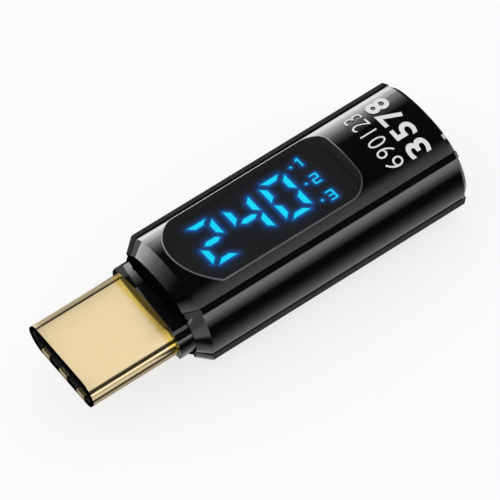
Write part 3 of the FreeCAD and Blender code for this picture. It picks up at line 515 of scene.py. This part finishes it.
def lit_lamps():
    """Strokes start + s (end - start) + t w/2 across, and dots r (cos a, sin a), all on one level."""
    start, end = mark_strokes()
    along = end - start
    across = np.stack([-along[:, 1], along[:, 0]], axis=1) / np.linalg.norm(along, axis=1)[:, None]
    rows, columns = STROKE_GRID
    s, t = np.meshgrid(np.linspace(0, 1, rows), np.linspace(-1, 1, columns), indexing="ij")
    bars = (
        start[:, None, None]
        + along[:, None, None] * s[None, ..., None]
        - across[:, None, None] * (t * STROKE_WIDTH / 2)[None, ..., None]
    )
    rings, spokes = DOT_GRID
    share, turn = np.linspace(DOT_CENTRE, 1, rings), np.linspace(0, 2 * np.pi, spokes)
    radius, angle = np.meshgrid(share, turn, indexing="ij")
    disc = DOT_RADIUS * np.stack([radius * np.cos(angle), radius * np.sin(angle)], axis=-1)
    dots = np.array([(LAMP_X, y) for y in LAMP_Y])[:, None, None] + disc[None]
    flat = np.concatenate([bars.reshape(-1, 2), dots.reshape(-1, 2)])
    points = np.column_stack([flat, np.full(len(flat), LIT_Z)])
    dot_faces = bars[..., 0].size + grid_faces(rings, spokes, len(LAMP_Y))
    faces = np.concatenate([grid_faces(rows, columns, len(start)), dot_faces])
    piece = add_piece("lit_lamps", points, faces, LIT)
    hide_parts("unit_lamps")
    return points


GLOW_STRENGTH = 1.7
GLOW_PEAK = 0.85
GLOW_MARGIN = 0.8 * MM
GLOW_DROP = 0.02 * MM  # how far the sheet lies below the lit bars
GLOW_GRID = (260, 130)
DIGIT_GLOW, LAMP_GLOW = 0.14 * MM, 0.1 * MM  # how far their light spreads


def glow_finish():
    """Light that spreads in the smoked window round the lit bars: blue, strongest beside them and gone
    further off."""
    material, tree = empty_material("scattered_display_light")
    level = add_node(tree, "ShaderNodeAttribute", attribute_name="glow").outputs["Fac"]
    clear = add_node(tree, "ShaderNodeBsdfTransparent").outputs[0]
    blue = {"Color": linear("0A78D8"), "Strength": GLOW_STRENGTH}
    light = add_node(tree, "ShaderNodeEmission", blue).outputs[0]
    add_node(tree, "ShaderNodeOutputMaterial", {"Surface": mix_shaders(tree, level, clear, light)})
    return material


def display_glow(sources):
    """A sheet under the lit bars; its glow at a point is the greatest exp(-d/r), d the distance to the
    nearest point of a source; sources are (points, r)."""
    low = np.array((DIGITS_LOW.x - GLOW_MARGIN, DIGITS_LOW.y - GLOW_MARGIN))
    high = np.array((MARK_X + MARK_HEIGHT / 2 + GLOW_MARGIN, DIGITS_HIGH.y + GLOW_MARGIN))
    across_sheet = [np.linspace(*ends) for ends in zip(low, high, GLOW_GRID)]
    x, y = np.meshgrid(*across_sheet, indexing="ij")
    points = np.column_stack([x.ravel(), y.ravel(), np.full(x.size, LIT_Z - GLOW_DROP)])
    glow = np.zeros(len(points))
    for lit, reach in sources:
        nearest = KDTree(len(lit))
        for number, point in enumerate(lit):
            nearest.insert((point[0], point[1], points[0, 2]), number)
        nearest.balance()
        distance = np.array([nearest.find(point)[2] for point in points])
        glow = np.maximum(glow, np.exp(-distance / reach))
    piece = add_piece("display_glow", points, grid_faces(*GLOW_GRID), glow_finish())
    paint_points(piece.data, "glow", GLOW_PEAK * glow)


display_glow([(lit_digits(), DIGIT_GLOW), (lit_lamps(), LAMP_GLOW)])

# ---- spring tabs at the plug's tip --------------------------------------------------------------

SHELL_WALL = 0.25 * MM
LIP = 0.28 * MM
TAB_FOOT = 0.03 * MM
TAB_RISE = 0.04 * MM  # how far a tab stands over the lip before it folds back
TAB_BEND = 0.05 * MM
TAB_FOLD = 0.3 * MM
TAB_LEAD = 0.01 * MM  # how far the tabs stand in front of the tip
TAB_HALF = 0.48 * MM
TAB_PLACES = np.array((-2.4, -0.1, 2.2)) * MM
BEND_STEPS, TAB_STRIPS = 7, 9
TAB_BRONZE = strip_metal("tarnished_gold_tab", "C4B184", "CDBB90", 0.35, 0.45)


def spring_tabs():
    """Three tabs folded over the lower lip of the plug's mouth: straight up the front from low to edge, round
    a quarter circle of radius r, (x, z) = (r (1 - cos a), edge + r sin a), and back over the lip."""
    low, edge = SHELL_LOW.z + TAB_FOOT, SHELL_LOW.z + SHELL_WALL + LIP + TAB_RISE
    angle = np.linspace(0, np.pi / 2, BEND_STEPS)
    x = np.concatenate([[0.0], TAB_BEND * (1 - np.cos(angle)), [TAB_FOLD]])
    z = np.concatenate([[low], edge + TAB_BEND * np.sin(angle), [edge + TAB_BEND]])
    across = np.linspace(-TAB_HALF, TAB_HALF, TAB_STRIPS)
    y = TAB_PLACES[:, None, None] + across[None, :, None]
    points = np.stack(np.broadcast_arrays(TIP_X - TAB_LEAD + x, y, z), axis=-1).reshape(-1, 3)
    faces = grid_faces(TAB_STRIPS, len(x), len(TAB_PLACES))
    add_piece("spring_tabs", points, faces, TAB_BRONZE)


spring_tabs()

# ---- the printed numbers ----------------------------------------------------------------------

INK_LIFT = 0.03 * MM
LETTER_SPACE = 1.12
CURVE_STEPS = 4
STRIPS = 39  # how many strips a row is cut into
SMALLEST = 1e-9  # keeps a flat outline from dividing by nothing


def pad_ink():
    """White pad-printing ink on lacquer: opaque, matt and a hair uneven where the pad let go."""
    return surface(
        "white_pad_printed_ink",
        {
            "Base Color": lambda tree: tint(tree, grain(tree, 0.15, 0.0, 1.0), "D8D8D8", "EDEDED"),
            "Roughness": lambda tree: grain(tree, 0.1, 0.45, 0.6),
        },
        IOR=1.5,
        Specular_IOR_Level=0.2,
    )


def printed_row(name, words, middle, height, width, weight):
    """A row of plain numbers laid on the crown round a middle (x, y): it runs along +y with its tops to -x,
    cut into narrow strips so that it follows the circle."""
    data = bpy.data.curves.new(name + "_outline", "FONT")
    data.body = words
    data.align_x = "CENTER"
    data.align_y = "CENTER"
    data.offset = weight
    data.space_character = LETTER_SPACE
    data.resolution_u = CURVE_STEPS
    holder = bpy.data.objects.new(name + "_outline", data)
    bpy.context.scene.collection.objects.link(holder)
    bpy.context.view_layer.update()
    mesh = bpy.data.meshes.new_from_object(holder.evaluated_get(bpy.context.evaluated_depsgraph_get()))
    bpy.data.objects.remove(holder)
    form = bmesh.new()
    form.from_mesh(mesh)
    co = np.array([vertex.co for vertex in form.verts])
    low, high = co.min(axis=0), co.max(axis=0)
    for place in np.linspace(low[0], high[0], STRIPS + 1)[1:-1]:
        everything = form.verts[:] + form.edges[:] + form.faces[:]
        bmesh.ops.bisect_plane(form, geom=everything, plane_co=(place, 0, 0), plane_no=(1, 0, 0))
    form.to_mesh(mesh)
    form.free()
    flat = np.empty(len(mesh.vertices) * 3)
    mesh.vertices.foreach_get("co", flat)
    flat = (flat.reshape(-1, 3) - (low + high) / 2) / (high - low).clip(SMALLEST)
    y = middle[1] + flat[:, 0] * width
    points = np.column_stack([middle[0] - flat[:, 1] * height, y, crown_height(y, INK_LIFT)])
    mesh.vertices.foreach_set("co", points.ravel())
    mesh.name = name
    mesh.materials.clear()
    piece = link_mesh(name, mesh, INK)
    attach(piece, ADAPTER)


INK = pad_ink()
PRINT_END = SLEEVE_HIGH.x - 1.3 * MM
BOLD_MIDDLE = (PRINT_END - 0.95 * MM, -0.35 * MM)
FINE_MIDDLE = (PRINT_END - 3.0 * MM, -0.4 * MM)
printed_row("printed_numbers_bold", "3578", BOLD_MIDDLE, 1.75 * MM, 6.2 * MM, 0.024)
printed_row("printed_numbers_fine", "690123", FINE_MIDDLE, 1.4 * MM, 5.8 * MM, -0.012)

# ---- floor and studio light -------------------------------------------------------------------

MIRROR_PEAK = 3.8  # the strongest light that a mirror finds

# What a mirror finds across the floor, as distances from the adapter's axis in millimetres and levels:
# white at the adapter's foot, a black flag laid along each side of it, then paper lit by a strip light.
NEAR_FLOOR = (
    (0, 0.75),
    (4, 0.7),
    (5, 0.55),
    (6.1, 0.4),
    (7.7, 0.17),
    (9, 0.06),
    (10.5, 0.01),
    (17, 0.01),
    (24, 0.36),
    (47, 1.05),
    (80, 1.4),
)
FAR_FLOOR = ((0, 0.5), (6, 0.05), (18, 0.03), (23, 0.6), (33, 2.8), (60, 3.8), (80, 3.8))
PLUG_FLOOR = ((0, 0.4), (5.6, 0.4), (6.6, 0.02), (8.3, 0.02), (9.5, 0.85), (14, 0.8), (20, 0.45), (80, 0.5))
FLAG_END = -7.5 * MM  # the long flags lie beside the barrel only
WHITE_SHARE = 0.75  # how much of the paper the camera sees as bare white light
DOME_LEVEL = 0.95
FLOOR_REACH = 2.0
FLOOR_CORNERS = np.array([(-1, -1, 0), (1, -1, 0), (1, 1, 0), (-1, 1, 0)]) * FLOOR_REACH


def floor_paper():
    """Matt white paper: it keeps the shadow, and mirrors find it striped by the flags."""
    material, tree = empty_material("matt_white_paper")
    ray = add_node(tree, "ShaderNodeLightPath")
    fibres = tint(tree, grain(tree, 0.5, 0.0, 1.0), "F8F8F8", "FAFAFA")
    paper = add_node(tree, "ShaderNodeBsdfDiffuse", {"Color": fibres}).outputs[0]
    white = add_node(tree, "ShaderNodeEmission", {"Strength": 1.0}).outputs[0]
    lift = math_node(tree, "MULTIPLY", ray.outputs["Is Camera Ray"], WHITE_SHARE)
    seen = mix_shaders(tree, lift, paper, white)
    place = object_place(tree)
    across = axis_of(tree, place, "Y")
    distance = math_node(tree, "ABSOLUTE", across)

    def banded(bands):
        """Light found at a distance from the axis, straight between the given places."""
        reach = bands[-1][0]
        stops = [(mm / reach, level / MIRROR_PEAK) for mm, level in bands]
        return ramp(tree, math_node(tree, "DIVIDE", distance, reach * MM), stops)

    is_far = math_node(tree, "GREATER_THAN", across, 0.0)
    beside_barrel = mix_colours(tree, is_far, banded(NEAR_FLOOR), banded(FAR_FLOOR))
    is_barrel = math_node(tree, "GREATER_THAN", axis_of(tree, place, "X"), FLAG_END)
    level = mix_colours(tree, is_barrel, banded(PLUG_FLOOR), beside_barrel)
    striped = add_node(tree, "ShaderNodeEmission", {"Color": level, "Strength": MIRROR_PEAK}).outputs[0]
    both = mix_shaders(tree, mirror_ray(tree, ray), seen, striped)
    add_node(tree, "ShaderNodeOutputMaterial", {"Surface": both})
    return material


# What a mirror finds round the adapter's long axis, from the horizon on its far side (0 degrees) over
# the top (90) to the near horizon (180): strip lights with feathered edges and black flags between.
STUDIO_BANDS = (
    (0, 3.7),
    (6, 3.3),
    (11, 3.1),
    (17, 2.6),
    (22, 2.3),
    (25, 1.85),
    (27, 1.4),
    (30, 0.98),
    (32, 0.65),
    (35, 0.4),
    (37, 0.27),
    (39.5, 0.13),
    (42, 0.02),
    (100, 0.01),
    (104, 0.02),
    (110, 0.1),
    (116, 0.26),
    (123, 0.42),
    (130, 0.62),
    (137, 1.0),
    (141, 1.0),
    (148, 0.02),
    (173, 0.02),
    (176.5, 1.7),
    (180, 1.7),
)


def white_studio():
    """White to the camera, an even dome for plain colour, and strip lights for mirrors."""
    world = bpy.data.worlds.new("white_studio")
    bpy.context.scene.world = world
    world.use_nodes = True
    tree = world.node_tree
    tree.nodes.clear()
    ray = add_node(tree, "ShaderNodeLightPath")
    direction = add_node(tree, "ShaderNodeTexCoord").outputs["Generated"]
    turn = math_node(tree, "ARCTAN2", axis_of(tree, direction, "Z"), axis_of(tree, direction, "Y"))
    bands = ramp(
        tree,
        math_node(tree, "DIVIDE", turn, np.pi),
        [(angle / 180, light / MIRROR_PEAK) for angle, light in STUDIO_BANDS],
    )

    def sky(colour, strength):
        """Light from all round."""
        return add_node(tree, "ShaderNodeBackground", {"Color": colour, "Strength": strength}).outputs[0]

    dome = sky(linear("FFFFFF"), DOME_LEVEL)
    lit = mix_shaders(tree, mirror_ray(tree, ray), dome, sky(bands, MIRROR_PEAK))
    both = mix_shaders(tree, ray.outputs["Is Camera Ray"], lit, sky(linear("FFFFFF"), 1.0))
    add_node(tree, "ShaderNodeOutputWorld", {"Surface": both})


# What the plug and the barrel's nose mirror, in degrees round the axis from its far side over the top,
# and levels: for the plug a grey card, a thin dark gap and a white card, for the nose a fading card.
PLUG_CARD = ((-12, 0.45), (27, 0.45), (30, 0.02), (44, 0.02), (46.5, 1.0), (148, 1.0))
NOSE_CARD = (
    (22, 3.5),
    (27, 3.1),
    (37, 1.6),
    (44, 0.9),
    (51, 0.64),
    (54, 0.46),
    (61, 0.28),
    (69, 0.12),
    (76, 0.0),
)
REAR_FLAG = ((-12, 0.02), (120, 0.02))  # keeps the bevel round the rear end dark
CARD_RADIUS = 20 * MM
PLUG_CARD_LEAN = (0.17, 0.224)  # how far towards +x the card's ends are, as a share of its radius
NOSE_CARD_ENDS = np.array((-10.0, 2.4)) * MM  # measured from the plug's tip
REAR_FLAG_ENDS = np.array((6.0, 80.0)) * MM  # measured from the rear end


def card_light():
    """Light from a card, as strong as the attribute painted on it."""
    material, tree = empty_material("card_light")
    level = add_node(tree, "ShaderNodeAttribute", attribute_name="light").outputs["Fac"]
    light = add_node(tree, "ShaderNodeEmission", {"Color": linear("FFFFFF"), "Strength": level})
    add_node(tree, "ShaderNodeOutputMaterial", {"Surface": light.outputs[0]})
    return material


CARD_LIGHT = card_light()


def curved_card(name, ends, bands):
    """A card bent round the axis: x runs between the ends, and (y, z) = axis + R (cos a, sin a). Its light
    is painted on by the angle a, so that what mirrors it gets soft and hard edges where it needs them."""
    degrees = np.array([angle for angle, level in bands], float)
    levels = np.array([level for angle, level in bands])
    angles = np.arange(degrees[0], degrees[-1] + 0.5, 1.0)
    x, angle = np.meshgrid(ends, np.radians(angles), indexing="ij")
    points = np.stack([x, CARD_RADIUS * np.cos(angle), AXIS_Z + CARD_RADIUS * np.sin(angle)], axis=-1)
    mesh = new_mesh(name, points.reshape(-1, 3), grid_faces(2, len(angles)))
    paint_points(mesh, "light", np.tile(np.interp(angles, degrees, levels), 2))
    card = link_mesh(name, mesh, CARD_LIGHT)
    card.visible_camera = False
    card.visible_shadow = False
    card.visible_diffuse = False


def studio_floor():
    """A sheet of white paper that the adapter lies on."""
    mesh = new_mesh("studio_floor", FLOOR_CORNERS, np.arange(len(FLOOR_CORNERS))[None])
    card = link_mesh("studio_floor", mesh, floor_paper())


studio_floor()
white_studio()
curved_card("plug_card", np.array((TIP_X, ROOT_X)) + CARD_RADIUS * np.array(PLUG_CARD_LEAN), PLUG_CARD)
curved_card("nose_card", TIP_X + NOSE_CARD_ENDS, NOSE_CARD)
curved_card("rear_flag", SLEEVE_HIGH.x + REAR_FLAG_ENDS, REAR_FLAG)

bpy.context.scene.view_settings.view_transform = "Standard"
